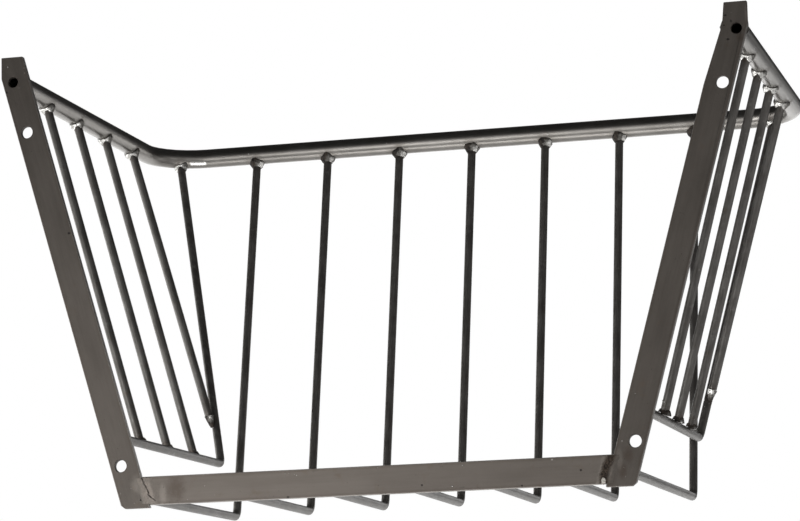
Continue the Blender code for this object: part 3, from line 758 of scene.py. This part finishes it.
def ground_seam(name, side, seed, material, crack_line, groove_line):
    """A thin pad of ground weld over the joint, feathered out into the flat bars."""
    chance = random.Random(seed)
    shares = [chance.uniform(-1.0, 1.0) for wave in range(RIPPLE_WAVES)]
    columns = round(2 * SEAM_HALF_WIDTH / SEAM_GRID)
    rows = round(2 * SEAM_HALF_HEIGHT / SEAM_GRID)
    surface = bmesh.new()
    layers = [surface.verts.layers.float.new(kind) for kind in ("ground", "crack", "char", "grit")]
    grid = []
    for row in range(rows + 1):
        z = -SEAM_HALF_HEIGHT + row * 2 * SEAM_HALF_HEIGHT / rows
        middle = side * (RAIL_END - SEAM_FROM_RAIL_END + z * math.tan(STILE_LEAN))
        line = []
        for column in range(columns + 1):
            x = middle - SEAM_HALF_WIDTH + column * 2 * SEAM_HALF_WIDTH / columns
            ripple = seam_ripple(x, z, shares)
            height, marks = seam_place(x, z, abs(x - middle), ripple, crack_line, groove_line)
            corner = surface.verts.new((x, height, z))
            for layer, mark in zip(layers, marks):
                corner[layer] = mark
            line.append(corner)
        grid.append(line)
    for lower, upper in zip(grid, grid[1:]):
        for column in range(columns):
            surface.faces.new((lower[column], upper[column], upper[column + 1], lower[column + 1]))
    left_side, right_side = ([line[end] for line in grid[1:-1]] for end in (0, -1))
    border = grid[0] + right_side + grid[-1][::-1] + left_side[::-1]
    back = [surface.verts.new((corner.co.x, SEAM_BACK, corner.co.z), corner) for corner in border]
    for here in range(len(border)):
        surface.faces.new((border[here - 1], border[here], back[here], back[here - 1]))
    surface.faces.new(back)
    bmesh.ops.recalc_face_normals(surface, faces=surface.faces)
    mesh = bpy.data.meshes.new(name)
    surface.to_mesh(mesh)
    surface.free()
    mesh.shade_smooth()
    mesh.materials.append(material)
    pad = bpy.data.objects.new(name, mesh)
    bpy.context.scene.collection.objects.link(pad)
    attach(pad, "root")


left_seam_steel = ground_seam_steel("left_ground_seam", LEFT_GROUND)
right_seam_steel = ground_seam_steel("right_ground_seam", RIGHT_GROUND)
ground_seam("left_ground_seam", 1, 7, left_seam_steel, crack_line=LEFT_CRACK, groove_line=[])
ground_seam("right_ground_seam", -1, 8, right_seam_steel, crack_line=[], groove_line=RIGHT_GROOVE)


# Studio: white surroundings that gloss sees dark overhead, a pale floor that takes the shadow,
# two cards that show only in gloss (a bright one behind the basket and a dark strip on the floor),
# and soft panels.

FLOOR_HEIGHT = -0.45
FLOOR_HALF_SIZE = 12.0
FLOOR_PAINT = (0.84, 0.84, 0.84, 1.0)
FLOOR_FADE = (1.6, 4.5)
CEILING_GLOSS = 0.03
CEILING_RISE = (-0.05, 0.22)
DIFFUSE_LIGHT = 0.62
BACK_CARD_DEPTH = -1.5
BACK_CARD_HALF_WIDTH = 2.4
BACK_CARD_TOP = 0.48
BACK_CARD_GLOW = 1.25
LOW_EXTRA_GLOW = 0.25
TOP_EXTRA_GLOW = 0.95
DIMMED_SHARE = 0.95
DARK_STRIP_HEIGHT = -0.44
DARK_STRIP_ENDS = (-1.0, 1.2)
DARK_STRIP_SIDES = (0.09, 0.36)
DARK_STRIP_GLOW = (0.08, 0.08, 0.08, 1.0)


def studio_world():
    """White to the camera, greyer to matt steel. Gloss sees a white horizon and a dark top."""
    world = bpy.data.worlds.new("studio")
    world.use_nodes = True
    bpy.context.scene.world = world
    tree = world.node_tree
    background = tree.nodes["Background"]
    start = Socket(tree)
    direction = start.node("ShaderNodeTexCoord", {}, {}, output="Generated")
    ceiling = direction.axis(2).step(*CEILING_RISE)
    rays = tree.nodes.new("ShaderNodeLightPath")
    camera, glossy, glass = (
        Socket(tree, rays.outputs[name])
        for name in ("Is Camera Ray", "Is Glossy Ray", "Is Transmission Ray"))
    reflected = glossy.larger(glass)
    seen = DIFFUSE_LIGHT + camera.larger(reflected) * (1.0 - DIFFUSE_LIGHT)
    strength = seen - ceiling * reflected * (1.0 - CEILING_GLOSS)
    background.inputs["Color"].default_value = (1.0, 1.0, 1.0, 1.0)
    tree.links.new(strength.socket, background.inputs["Strength"])


def studio_floor():
    """Pale in the middle, where it takes the shadow, and running out to white."""
    mesh = bpy.data.meshes.new("floor")
    half = FLOOR_HALF_SIZE
    corners = [(-half, -half), (half, -half), (half, half), (-half, half)]
    mesh.from_pydata([(x, y, FLOOR_HEIGHT) for x, y in corners], [], [(0, 1, 2, 3)])
    floor = bpy.data.objects.new("floor", mesh)
    bpy.context.scene.collection.objects.link(floor)
    material = bpy.data.materials.new("floor")
    material.use_nodes = True
    tree = material.node_tree
    paint = tree.nodes["Principled BSDF"]
    paint.inputs["Base Color"].default_value = FLOOR_PAINT
    paint.inputs["Roughness"].default_value = 0.9
    place = Socket(tree).node("ShaderNodeTexCoord", {}, {}, output="Object")
    from_middle = place.vector("LENGTH", place, place, output=1)
    white = place.node("ShaderNodeEmission", {}, {"Strength": 1.0})
    shaders = {0: from_middle.step(*FLOOR_FADE), 1: Socket(tree, paint.outputs[0]), 2: white}
    mixed = place.node("ShaderNodeMixShader", {}, shaders)
    tree.links.new(mixed.socket, tree.nodes["Material Output"].inputs["Surface"])
    mesh.materials.append(material)


def gloss_card(name, corners, glow_at):
    """A four-cornered card that shows only in gloss. The last input gives its glow at a place."""
    mesh = bpy.data.meshes.new(name)
    mesh.from_pydata(corners, [], [(0, 1, 2, 3)])
    card = bpy.data.objects.new(name, mesh)
    bpy.context.scene.collection.objects.link(card)
    card.visible_camera = False
    card.visible_diffuse = False
    card.visible_shadow = False
    material = bpy.data.materials.new(name)
    material.use_nodes = True
    tree = material.node_tree
    tree.nodes.remove(tree.nodes["Principled BSDF"])
    place = Socket(tree).node("ShaderNodeTexCoord", {}, {}, output="Object")
    light = place.node("ShaderNodeEmission", {}, {"Color": glow_at(place)})
    tree.links.new(light.socket, tree.nodes["Material Output"].inputs["Surface"])
    mesh.materials.append(material)


def back_card_glow(place):
    """Brighter above and below, and dim in the two parts that the rim's right leg reflects."""
    x, z = place.axis(0), place.axis(2)
    low = z.step(-0.04, -0.16)
    top = z.step(0.08, 0.20) * x.step(-0.52, -0.34)
    near_leg = x.step(-0.33, -0.45) * z.step(-0.14, -0.06) * z.step(0.11, 0.04)
    past_leg = x.step(-0.53, -0.64) * z.step(-0.14, -0.02)
    glow = BACK_CARD_GLOW + low * LOW_EXTRA_GLOW + top * TOP_EXTRA_GLOW
    return glow * (1.0 - near_leg.larger(past_leg) * DIMMED_SHARE)


def upright_corners(half_width, y, bottom, top):
    """The corners of an upright card that faces along Y."""
    return [(-half_width, y, bottom), (half_width, y, bottom),
            (half_width, y, top), (-half_width, y, top)]


def level_corners(ends, sides, z):
    """The corners of a level card between these ends along X and sides along Y."""
    (x1, x2), (y1, y2) = ends, sides
    return [(x1, y1, z), (x2, y1, z), (x2, y2, z), (x1, y2, z)]


def soft_panel(name, place, target, size, watts, glossy=True, spread=180.0):
    """A lamp aimed at a target. Gloss sees it too, unless glossy is False."""
    lamp = bpy.data.lights.new(name, "AREA")
    lamp.shape = "RECTANGLE"
    lamp.size, lamp.size_y = size
    lamp.energy = watts
    lamp.spread = math.radians(spread)
    panel = bpy.data.objects.new(name, lamp)
    panel.location = place
    panel.rotation_euler = (Vector(target) - Vector(place)).to_track_quat("-Z", "Y").to_euler()
    panel.visible_camera = False
    panel.visible_glossy = glossy
    bpy.context.scene.collection.objects.link(panel)


studio_world()
studio_floor()
back_corners = upright_corners(BACK_CARD_HALF_WIDTH, BACK_CARD_DEPTH, FLOOR_HEIGHT, BACK_CARD_TOP)
strip_corners = level_corners(DARK_STRIP_ENDS, DARK_STRIP_SIDES, DARK_STRIP_HEIGHT)
gloss_card("back_card", back_corners, back_card_glow)
gloss_card("dark_strip", strip_corners, lambda place: DARK_STRIP_GLOW)
soft_panel("low_left_panel", place=(0.60, 0.95, -0.12), target=(-0.02, -0.05, 0.00),
           size=(0.6, 0.40), watts=1.2, spread=70.0)
soft_panel("under_panel", place=(0.1, -0.12, -0.43), target=(0.1, -0.2, 0.3),
           size=(1.0, 0.26), watts=3.4)
soft_panel("side_panel", place=(1.5, -0.3, 0.18), target=(0.0, -0.1, 0.22),
           size=(0.7, 0.6), watts=2.3, spread=120.0)
soft_panel("ceiling_panel", place=(0.3, -0.3, 2.2), target=(0.0, -0.2, 0.0),
           size=(0.18, 0.18), watts=26.0, glossy=False)


# Camera: on the wall's side of the rack and a little below it, looking up at it through a long
# lens, and rolled by about a degree.

CAMERA_AIM = Vector((-0.02845, 0.0, 0.19034))
CAMERA_DISTANCE = 2.80576
CAMERA_AZIMUTH = math.radians(194.612)
CAMERA_ELEVATION = math.radians(-9.123)
CAMERA_ROLL = math.radians(-1.312)
CAMERA_LENS = 145.09
SENSOR_WIDTH = 36.0
FARTHEST_SEEN = 100.0


def photo_camera():
    """The camera on its orbit round the point that it aims at."""
    azimuth, elevation = CAMERA_AZIMUTH, CAMERA_ELEVATION
    back = Vector((
        math.sin(azimuth) * math.cos(elevation),
        -math.cos(azimuth) * math.cos(elevation),
        math.sin(elevation)))
    data = bpy.data.cameras.new("camera")
    data.lens = CAMERA_LENS
    data.sensor_width = SENSOR_WIDTH
    data.clip_end = FARTHEST_SEEN
    camera = bpy.data.objects.new("camera", data)
    bpy.context.scene.collection.objects.link(camera)
    look = (-back).to_track_quat("-Z", "Y").to_matrix() @ Matrix.Rotation(CAMERA_ROLL, 3, "Z")
    camera.matrix_world = Matrix.Translation(CAMERA_AIM + back * CAMERA_DISTANCE) @ look.to_4x4()
    bpy.context.scene.camera = camera


photo_camera()
bpy.context.scene.view_settings.view_transform = "Standard"
